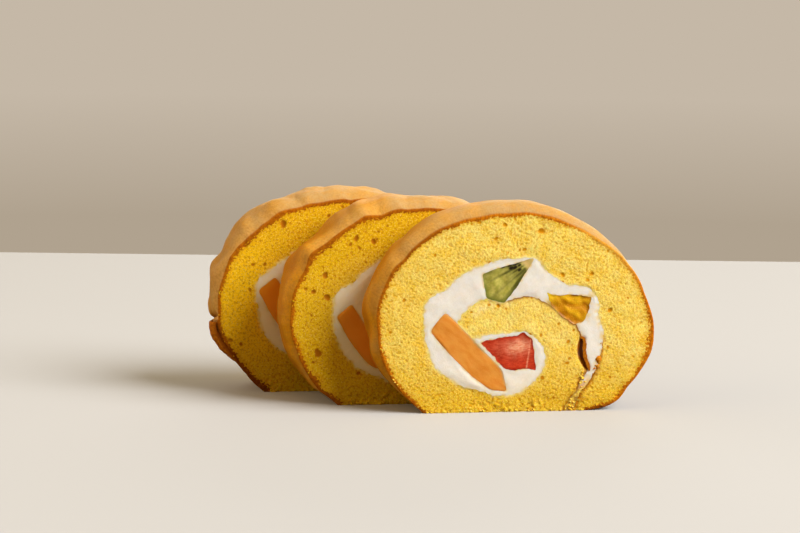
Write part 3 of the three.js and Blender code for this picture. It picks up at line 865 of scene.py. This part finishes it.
# ---- what each food looks like on its cut face: how far it is sunk, and its attributes ----
# Bare numbers in these functions are shares, or millimetres: places on the slice, and distances from an
# edge. x > 14 or more is the seam on the right, under the inner coil.
def sponge_face(at):
    piece, x, z, depths, edge_gap, rim_gap = at.piece, at.x, at.z, at.depths, at.edge_gap, at.rim_gap
    thick = piece.thick
    depth, painted_pore_shade, hole = (sample_face(g, x, z) for g in piece.crumb_maps)
    on_face = (depths == 0) | (depths == thick)
    crust = (~on_face) & (rim_gap < ON_RIM)
    off_rim = 1 - bell(rim_gap, 0.7)
    off_cream = 1 - 0.8 * bell(edge_gap, 0.5)
    rough = at.noise(0.5, 60)
    broad = at.noise(2.0, 61)
    # the torn foot and the seam are sunk more, and bits of skin lie along the seam
    torn = 0.5 * np.exp(-(z / 4.5)) * np.clip(0.5 + 0.5 * broad, 0, 1.4)
    seam = at.near(SEAM_LINE, 3.0)
    sunk = depth * off_rim * off_cream * (1 + 1.2 * torn + 0.8 * seam) + 0.15 * bell(rim_gap, 0.35)
    sunk = sunk + 0.35 * torn * (1 + rough)
    thread = at.near(SEAM_LINE, 0.8) * unit(0.8 + 0.4 * broad + 0.4 * rough)
    bits = np.maximum(0.6 * seam * unit(0.1 + 0.7 * rough), thread)
    # browned skin inside the roll
    coil = at.near(COIL_SKIN, 3.0) * bell(edge_gap, 0.8) * unit(0.95 + 0.5 * broad)
    wall = bell(edge_gap, 1.8) * unit(1.2 + 0.25 * broad + 0.4 * rough)
    wall = wall * at.near(WALL_SKIN, 2.4)
    # the gap beside the inner coil: browned skin, darkened with painted shade
    dark = rise(at.near(HOLLOW_LINE, HOLLOW_WIDTH), *HOLLOW_DARK)
    edge = bell(edge_gap, 1.0) * (x > 18) * fade(z, 16, 21) * unit(0.95 + 0.4 * broad + 0.4 * rough)
    skin = unit(np.maximum.reduce([coil, wall, dark, bits, edge]))
    # cream wiped over the crumb, and the closer crumb of the coil
    smear = bell(edge_gap, 0.7) * unit(0.6 + 0.5 * rough) * (1 - skin) * (rim_gap > 3)
    smear = smear * np.where(x > 14, rise(z, 10, 16), 1)
    core = fade(np.hypot(*((at.places - CORE_PLACE) / CORE_REACH).T), 0.8, 1.2)
    film = at.near(FILM_LINE, 2.2) * unit(0.55 + 0.4 * rough)
    film = np.maximum(film, 0.1 * core)
    # the crust: browner low down and on the left, partly browned in the oven and partly painted shade, with
    # more painted shade deeper in from the cuts and painted light at the cuts on the upper left
    width, thick_left, faint = rim_width(at)
    left = bell(np.degrees(at.angle) % 360 - 180, 48)
    side = np.maximum(fade(z, *LOW_SIDE), piece.browning_and_painted_shade * left)
    from_cut = np.minimum(depths, thick - depths)
    front = 0.8 * left * bell(from_cut, 4.5) * rise(z, piece.painted_light_from, piece.painted_light_from + 25)
    at_foot = 0.6 * fade(z, *FOOT_BROWN) * (rim_gap < 4)
    # browned darker, with painted shade in the gap and on the line at the cut
    burnt = [0.65 * dark, 0.8 * coil, thick_left * (rim_gap < 4), at_foot, 0.5 * bits, 0.5 * edge]
    burnt = np.where(crust, at_foot, np.maximum.reduce(burnt))
    if piece.flap:
        below = flap_top(at.through) - z + 0.5 * rough
        under = rise(below, -0.4, 0.4) * (1 - 0.3 * rise(below, 10, 20))
        under = under * (x < 0) * (rim_gap < 2.6) * (1 - 0.7 * rise(at.through, 0.2, 0.8))
        burnt = np.maximum(burnt, 0.7 * under * unit(0.8 + 0.3 * broad))
        skin = np.maximum(skin, under * fade(rim_gap + 0.4 * rough, 0.9, 1.7))
    # painted shade on the cut face: all over the back slices, at the foot, at the top and on the left; less
    # on a back face
    amber = piece.amber + 0.8 * fade(z, *FOOT_PAINTED_SHADE) + piece.painted_shade_top * rise(z, *TOP_PAINTED_SHADE)
    amber = amber + piece.painted_shade_left * rise(-x, 26, 46) * rise(z, 8, 26)
    amber = amber - BACK_PALER * piece.amber * (depths == thick)
    # painted light on the left of the back slices' front faces, fading towards the top
    lift = piece.lift * rise(-x, 22, 42) * rise(z, 6, 26) * (1 - 0.8 * rise(z, 50, 70))
    return sunk, {
        # painted shade in the pores, more at the torn foot, less in the closer crumb of the coil
        "painted_pore_shade": painted_pore_shade * on_face * off_rim * off_cream * (1 + torn) * (1 - 0.45 * core),
        # painted shade in the bubbles
        "hollow": hole * on_face * off_rim,
        "skin": np.where(crust, 0, skin),
        "rim": np.where(crust, 0, np.clip(rim_gap / (width * (1 + 0.16 * broad)), 0, 4)),
        # painted shade deeper in from the cuts
        "shaded": side * rise(from_cut + 0.8 * broad, 3, 10),
        "faint": faint,
        # painted light at the cuts on the upper left
        "front": front,
        "smear": unit(np.maximum(smear, film)) * on_face,
        "crust": crust,
        # browned in the oven and painted shade, on the left and low down
        "baked": unit((0.92 - 0.22 * bell(from_cut, 3)) * side + 0.12 * broad),
        "burnt": unit(burnt),
        "amber": unit(amber),
        "lift": lift * (depths == 0),
    }


def rim_width(at):
    """Width of the browned line at the cut, how much darker it is, partly browned and partly painted shade,
    and how faint it is.
    """
    piece, angle = at.piece, np.degrees(at.angle)
    left = bell(angle - 143, 22)
    right = bell(angle + 8, 13)
    top = bell(angle - 96, 32)
    low = (0.4 + piece.rim_foot * (at.x < 0)) * fade(at.z, 4, 22 + 16 * piece.amber)
    # darker on the upper left; on the back slices also darker at the top, as painted shade
    dark = 0.5 * left if piece.amber == 0 else np.maximum(0.35 * left, 0.55 * top)
    width = 1.2 + piece.rim_left * left + piece.rim_right * right + low
    return width, np.maximum(dark, 0.8 * (low - 0.4)), 0.5 * bell(angle - 38, 24) * (1 - piece.amber)


def cream_face(at):
    piece, x, z, edge_gap = at.piece, at.x, at.z, at.edge_gap
    soft = at.noise(2.4, 70)
    small = at.noise(0.6, 71)
    strokes = sample_face(soft_noise(GRID_SIZE, (3.0, 26.0), piece.seed + 72), x + 0.5 * z, z - 0.9 * x)
    inner = 1 - bell(edge_gap, 1.2)
    crumbed = fade(z + 1.5 * small, 10.0, 12.0) * (x > 14)
    depth, painted_pore_shade, _ = (sample_face(g, x, z) for g in piece.crumb_maps)
    sunk = (0.07 * soft + 0.01 * small + 0.02 * strokes) * inner - 0.08 * inner
    sunk = sunk * (1 - crumbed) + 1.6 * depth * crumbed
    coil_skin = at.near(COIL_SKIN, 1.5)
    sliver = coil_skin * rise(x, 11, 14) * fade(x, 24, 28) * (z > 34)
    tinge = 0.8 * bell(edge_gap, 0.6 + 0.8 * (x > 30)) * unit(0.45 + 0.55 * small)
    # the gap darkened with painted shade
    burnt = [rise(at.near(HOLLOW_LINE, HOLLOW_WIDTH), *HOLLOW_DARK), 0.6 * crumbed * rise(small, 0.9, 1.6)]
    burnt.append(0.8 * coil_skin * (z < 19) * bell(edge_gap, 0.6) * unit(0.7 + 0.5 * small))
    burnt.append(0.4 * sliver * unit(0.7 + 0.6 * small))
    # painted shade on the cream of the back slices, less on a back face
    amber = piece.amber * (1 - BACK_PALER * (at.depths == piece.thick))
    return sunk, {
        "stain": fade(z, 9, 16) * (x > 14) * unit(0.6 + 0.4 * small),
        "tinge": np.maximum(tinge, sliver),
        "crumbed": crumbed,
        "burnt": np.maximum.reduce(burnt),
        # painted shade in the pores of the crumbed cream
        "painted_pore_shade": painted_pore_shade,
        "amber": unit(amber + 0.5 * fade(z, 3, 28)),
    }


def melon_face(at):
    wave = at.noise(3.0, 80)
    lower = at.local[:, 1] < 0
    at_edge = bell(at.edge_gap, 0.5)
    film = 0.7 * (~lower) * at_edge * unit(0.7 + 0.5 * wave) * (1 - at.piece.amber)
    # painted shade on the melon of the back slices
    amber = np.full(len(wave), at.piece.amber)
    return 0.02 + 0.12 * wave, {"edge": (0.2 + 0.5 * lower) * at_edge, "film": film, "amber": amber}


def strawberry_face(at):
    u, v = at.local.T
    wave = at.noise(1.4, 81)
    centre = np.hypot((u - 0.8) / 7.0, (v - 27.0 - 0.06 * u) / 3.6)
    pale = np.exp(-(centre**2) * 1.2) * rise(at.edge_gap, 0.3, 1.6) * np.clip(1 + 0.25 * wave, 0, 1.2)
    streak = bell(u - 6.0 - 0.12 * (v - 23), 0.28) * rise(at.edge_gap, 0.1, 0.6)
    edge = 0.4 * bell(at.edge_gap, 0.6)
    return 0.1 + 0.12 * wave, {"pale": unit(np.maximum(pale, 0.9 * streak)), "edge": edge}


def rays_from(centre, local):
    """Steps away from a fruit's middle, the distance and the angle round it."""
    u, v = local[:, 0] - centre[0], local[:, 1] - centre[1]
    return u, v, np.hypot(u, v), np.arctan2(v, u) % (2 * math.pi)


def kiwi_face(at):
    u, v, reach, turn = rays_from(KIWI_CORE, at.local)
    rays = sample(soft_noise((1024, 256), (9, 45), at.piece.seed + 82), RAY_GRID, reach, turn * 40)
    wave = at.noise(1.2, 83)
    core = fade(reach + 0.4 * wave, 7.2, 8.8)
    band = rise(reach, 7, 9) * fade(reach, 12, 19)
    streak = unit(band * (0.68 + 0.5 * rays) + 0.26 * np.clip(rays, 0, 2) * (1 - core))
    rng = np.random.default_rng(at.piece.seed + 84)
    seeds = np.zeros(len(wave))
    for far, way in KIWI_SEEDS:
        way = math.radians(way)
        along = u * math.cos(way) + v * math.sin(way) - far
        across = v * math.cos(way) - u * math.sin(way)
        size = rng.uniform(0.8, 1.25)
        seeds = np.maximum(seeds, fade(np.hypot(along, across / 0.6) / size, 0.6, 1.3))
    rind = rise(KIWI_TOP + 0.31 * u - v, 2, 6)
    edge = (0.3 + 0.7 * rind) * bell(at.edge_gap, 1.3) * (1 - core)
    sunk = 0.08 + 0.1 * wave + 0.1 * streak - 0.1 * seeds
    return sunk, {"core": core, "streak": streak, "seed": seeds, "edge": edge}


def citrus_face(at):
    u, v, reach, turn = rays_from(CITRUS_TIP, at.local)
    sacs = sample(soft_noise((256, 1024), (26, 10), at.piece.seed + 85), RAY_GRID, turn * 22, reach)
    wave = at.noise(0.8, 86)
    pulp = unit(0.3 + 0.32 * sacs + 0.1 * wave + 0.03 * reach) * rise(reach, 9, 17)
    membrane = ((v > -7.4) * (u > 8) + 0.7 * (u < 17) * (v < -8)) * rise(reach, 10, 14)
    edge = bell(at.edge_gap, 0.6 + 0.25 * wave) * unit(0.65 + 0.5 * wave)
    edge = edge * unit(0.05 + 0.3 * rise(reach, 9, 13) + membrane)
    return 0.02 + 0.25 * pulp + 0.08 * wave, {"pulp": pulp, "edge": edge}


FACES = {
    "sponge": sponge_face,
    "cream": cream_face,
    "melon": melon_face,
    "strawberry": strawberry_face,
    "kiwi": kiwi_face,
    "citrus": citrus_face,
}


def make_slice(piece, loops, to_slice):
    seed = piece.seed
    piece.crumb_maps = crumb_maps(piece)
    dents = soft_noise(CRUST_GRID_SIZE, (12, 11), seed + 50)
    creases = soft_noise(CRUST_GRID_SIZE, (9, 3), seed + 51)
    piece.crust_map = piece.relief * (0.24 * dents + 0.07 * creases)
    front = triangulate(loops, piece.spacing[0], seed + 1)
    back = triangulate(loops, piece.spacing[1], seed + 2)
    for kind, look in FACES.items():
        places, depths, triangles = solid(front, back, kind, piece)
        if kind == "sponge":
            border = np.vstack([loops[n] for n in loops if n != "outer"])
        else:
            border = front[0][sorted({v for e in open_edges(front[1][front[2] == kind]) for v in e})]
        at = Points(piece, places, depths)
        at.edge_gap, _ = nearest(tree_of(border), places)
        at.local = apply(np.linalg.inv(to_slice[kind]), places) if kind in to_slice else places
        sunk, attributes = look(at)
        attributes["local" if kind in to_slice else "flat"] = np.column_stack([at.local, depths])
        if kind == "sponge":
            attributes["round"] = np.column_stack([at.rim_index * EDGE, depths, at.rim_gap])
        sunk = sunk * (1 - bell(at.edge_gap, EDGE)) + HOLLOW_DEPTH * at.near(HOLLOW_LINE, HOLLOW_WIDTH)
        start = f"{kind}_{piece.name}"
        nodes = [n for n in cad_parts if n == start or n.startswith(start + "_")]
        make(f"{start}_fine", kind, at.moved(sunk), triangles, attributes, nodes)


# ---- loose skin and crumbs ----
def strip(line, thickness, depths):
    """A ribbon on edge: flat places, depths and triangles of a closed strip along a line."""
    line = curve_through(line, False, 0.3)
    ahead = np.gradient(line, axis=0)
    side = np.stack([ahead[:, 1], -ahead[:, 0]], 1) / np.linalg.norm(ahead, axis=1)[:, None]
    count = len(line)
    t = np.linspace(0, 1, count)
    uneven = 1 + 0.12 * np.sin(23 * t + 1) + 0.08 * np.sin(57 * t)
    half = thickness / 2 * (uneven * (0.35 + 0.65 * np.sqrt(unit(4 * t * (1 - t)))))[:, None]
    loop = np.vstack([line + side * half, (line - side * half)[::-1]])
    size = len(loop)
    triangles = []
    for k in range(len(depths) - 1):
        for i in range(size):
            a, b = k * size + i, k * size + (i + 1) % size
            triangles += [(b, a, a + size), (b, a + size, b + size)]
    end = (len(depths) - 1) * size
    for i in range(count - 1):
        a, b, c, d = i, i + 1, size - 2 - i, size - 1 - i
        triangles += [(a, c, b), (a, d, c), (end + a, end + b, end + c), (end + a, end + c, end + d)]
    triangles = np.array(triangles)
    if area(loop) <= 0:
        triangles = triangles[:, [0, 2, 1]]
    return np.vstack([loop] * len(depths)), np.repeat(depths, size), triangles


def ball():
    """Twelve corners and twenty triangles."""
    gold = (1 + 5**0.5) / 2
    corners = [(s1, s2 * gold, 0) for s1 in (-1, 1) for s2 in (-1, 1)]
    points = np.array([np.roll(c, k) for k in range(3) for c in corners]) / math.hypot(1, gold)
    longest = 1.05 * 2 / math.hypot(1, gold)
    faces = []
    for i, j, k in combinations(range(12), 3):
        trio = points[[i, j, k]]
        sides = [np.linalg.norm(trio[a] - trio[b]) for a, b in ((0, 1), (1, 2), (2, 0))]
        if max(sides) < longest:
            out = np.dot(np.cross(trio[1] - trio[0], trio[2] - trio[0]), trio[0])
            faces.append((i, j, k) if out > 0 else (i, k, j))
    return points, np.array(faces)


def refine(points, faces):
    """One step of subdivision, back onto the ball."""
    points = list(map(tuple, points))
    middles, made = {}, []

    def middle(a, b):
        key = (min(a, b), max(a, b))
        if key not in middles:
            m = np.array(points[a]) + np.array(points[b])
            middles[key] = len(points)
            points.append(tuple(m / np.linalg.norm(m)))
        return middles[key]

    for a, b, c in faces:
        d, e, f = middle(a, b), middle(b, c), middle(c, a)
        made += [(a, d, f), (b, e, d), (c, f, e), (d, e, f)]
    return np.array(points), np.array(made)


LUMP_POINTS, LUMP_FACES = refine(*ball())


def crumbs(centres, sizes, seed):
    """Rough crumbs at places in the row frame, as one mesh."""
    rng = np.random.default_rng(seed)
    points, faces = [], []
    for centre, size in zip(centres, sizes):
        rough = LUMP_POINTS * (1 + rng.uniform(-0.28, 0.28, (len(LUMP_POINTS), 1)))
        stretch = rng.uniform(0.6, 1.15, 3)
        turn = np.linalg.qr(rng.standard_normal((3, 3)))[0]
        turn *= np.sign(np.linalg.det(turn))
        lump = (rough * stretch) @ turn.T * size + centre
        lump[:, 2] = np.maximum(lump[:, 2], 0.02)
        faces.append(LUMP_FACES + len(points) * len(LUMP_POINTS))
        points.append(lump)
    return np.vstack(points), np.vstack(faces)


def loose_skin(piece, name, strip_of, places, looks):
    """A strip of browned skin beside the food, moved to its places; looks are its attributes."""
    flat, depths, triangles = strip_of
    looks["flat"] = np.column_stack([flat, depths])
    make(f"{name}_{piece.name}", "skin", Points(piece, places, depths).moved(0), triangles, looks)


def make_skin(piece):
    """The curl of loose skin beside the inner coil, and the tongue that peels off the third slice."""
    ends = np.array(CURL_DEPTHS)
    curl = strip(CURL_LINE, CURL_THICK, np.array([*ends, piece.thick / 2, *(piece.thick - ends[::-1])]))
    loose_skin(piece, "skin_curl", curl, apply(piece.place, curl[0]), {"burnt": np.full(len(curl[0]), 0.5)})
    if piece.flap:
        tongue = flat, depths, _ = strip(TONGUE_LINE, TONGUE_THICK, np.array(TONGUE_DEPTHS))
        line_x, line_z = np.array(TONGUE_LINE[::-1]).T
        inner = rise(flat[:, 0] - np.interp(flat[:, 1], line_z, line_x), -0.9, 0.6)
        sink = 2.4 * rise(depths, 3, 13)
        looks = {"burnt": 0.4 + 0.6 * inner, "inward": rise(depths, 1.5, 8)}
        loose_skin(piece, "skin_tongue", tongue, flat + np.column_stack([sink, 0.3 * sink]), looks)


def scatter(rng, place, line, spacing, count, spread):
    """Random places along a line."""
    dense = apply(place, curve_through(line, False, spacing))
    return dense[rng.integers(0, len(dense), count)] + rng.normal(0, spread, (count, 2))


def make_crumbs(piece):
    rng = np.random.default_rng(piece.seed + 90)
    flat, deep, sizes, browned = [], [], [], []
    for face, inward in ((0.0, 1), (piece.thick, -1)):
        foot = np.column_stack([rng.uniform(-37, 31, FOOT_BITS), rng.uniform(0.1, 0.9, FOOT_BITS)])
        left = (rng.choice(LEFT_PLACES, LEFT_BITS) + rng.normal(0, 5, LEFT_BITS)).astype(int) % len(piece.rim)
        left = piece.rim[left] + rng.uniform(0.3, 1.2, (LEFT_BITS, 1)) * (0.9, 0.2)
        seam = scatter(rng, piece.place, SEAM_LINE, 0.5, SEAM_BITS, 1.1)
        wall = scatter(rng, piece.place, WALL_SKIN[:3], 0.3, WALL_BITS, 0.5)
        group = np.vstack([foot, left, seam[seam[:, 1] > 0.3], wall])
        flat.append(group)
        browned.append(np.arange(len(group)) >= len(group) - WALL_BITS)
        deep.append(face + (rng.uniform(0.0, 0.3, len(group)) + 0.35 * browned[-1]) * inward)
        sizes.append(np.exp(rng.normal(-0.8, 0.3, len(group))) * np.where(group[:, 0] < 10, 0.75, 1))
    browned = np.concatenate(browned)
    sizes = np.concatenate(sizes) * np.where(browned, 1.25, 1)
    centres = Points(piece, np.vstack(flat), np.concatenate(deep)).moved(0)
    points, triangles = crumbs(centres, sizes, piece.seed + 91)
    tone, second = np.repeat(rng.uniform(0, 1, (len(sizes), 2)), len(LUMP_POINTS), axis=0).T
    looks = {
        "flat": points,
        # painted shade as on the slice, with a random tone for each crumb
        "amber": unit(1.2 * piece.amber + 0.45 * tone),
        # painted shade in the pores, a random share for each crumb
        "painted_pore_shade": 1.1 * second + rng.uniform(-0.3, 0.3, len(points)),
        "rim": np.full(len(points), 4),
        "skin": np.repeat(browned, len(LUMP_POINTS)) * (0.7 + 0.3 * tone),
    }
    make(f"crumbs_{piece.name}", "sponge", points, triangles, looks)


for one in SLICES:
    make_slice(one, *outlines(one))
    make_skin(one)
    make_crumbs(one)


# ---- floor, light and camera ----
def stage_floor():
    turn = Matrix.Rotation(-CAMERA_AZIMUTH, 3, "Z")
    ends = ((-1, FLOOR_FRONT), (1, FLOOR_FRONT), (1, FLOOR_BACK), (-1, FLOOR_BACK))
    mesh = bpy.data.meshes.new("floor")
    mesh.from_pydata([(turn @ Vector((side * FLOOR_SIDE, y, 0)))[:] for side, y in ends], [], [(0, 1, 2, 3)])
    s = Shader("floor_paint")
    seen = s.node("LightPath", "Is Camera Ray", {})
    mesh.materials.append(s.finish(s.mix(seen, rgb(*FLOOR_BOUNCE), rgb(*FLOOR_COLOUR)), 0.9, gloss=0.05))
    floor = bpy.data.objects.new("floor", mesh)
    bpy.context.scene.collection.objects.link(floor)


def area_light(name, place, power, colour):
    data = bpy.data.lights.new(name, "AREA")
    data.shape = "DISK"
    data.size = LAMP_SIZE
    data.energy = power
    data.color = colour
    lamp = bpy.data.objects.new(name, data)
    bpy.context.scene.collection.objects.link(lamp)
    lamp.location = place
    lamp.rotation_mode = "QUATERNION"
    lamp.rotation_quaternion = Vector(place).to_track_quat("Z", "Y")


def room():
    """Dim warm light from all round, and the plain wall that only the camera sees."""
    s = Shader("studio", bpy.data.worlds, "Background")
    height = s.node("SeparateXYZ", "Z", {0: s.node("TexCoord", "Generated", {})})
    s.put(s.body.inputs["Color"], ROOM_COLOUR)
    s.put(s.body.inputs["Strength"], s.range(height, *ROOM_RISE, *ROOM_POWER, ease="LINEAR"))
    tone = s.mix(s.range(height, *WALL_RISE, ease="LINEAR"), rgb(*WALL_LOW), rgb(*WALL_HIGH))
    wall = s.node("Background", 0, {"Color": tone})
    seen = s.node("LightPath", "Is Camera Ray", {})
    either = s.node("MixShader", 0, {0: seen, 1: s.body.outputs[0], 2: wall})
    s.put(s.tree.nodes["World Output"].inputs[0], either)
    bpy.context.scene.world = s.owner


def camera():
    azimuth, pitch = CAMERA_AZIMUTH, CAMERA_PITCH
    level = math.cos(pitch)
    ahead = Vector((math.sin(azimuth) * level, math.cos(azimuth) * level, -math.sin(pitch)))
    across = Vector((math.cos(azimuth), -math.sin(azimuth), 0))
    right = (across - CAMERA_ROLL * ahead.cross(across)).normalized()
    data = bpy.data.cameras.new("camera")
    data.lens = LENS
    data.sensor_width = SENSOR
    data.clip_end = SEES_TO
    made = bpy.data.objects.new("camera", data)
    bpy.context.scene.collection.objects.link(made)
    turn = Matrix((right, right.cross(ahead), -ahead)).transposed().to_4x4()
    made.matrix_world = Matrix.Translation(CAMERA_PLACE) @ turn
    bpy.context.scene.camera = made


stage_floor()
for lamp in LAMPS:
    area_light(*lamp)
room()
camera()
bpy.context.scene.view_settings.view_transform = "Standard"
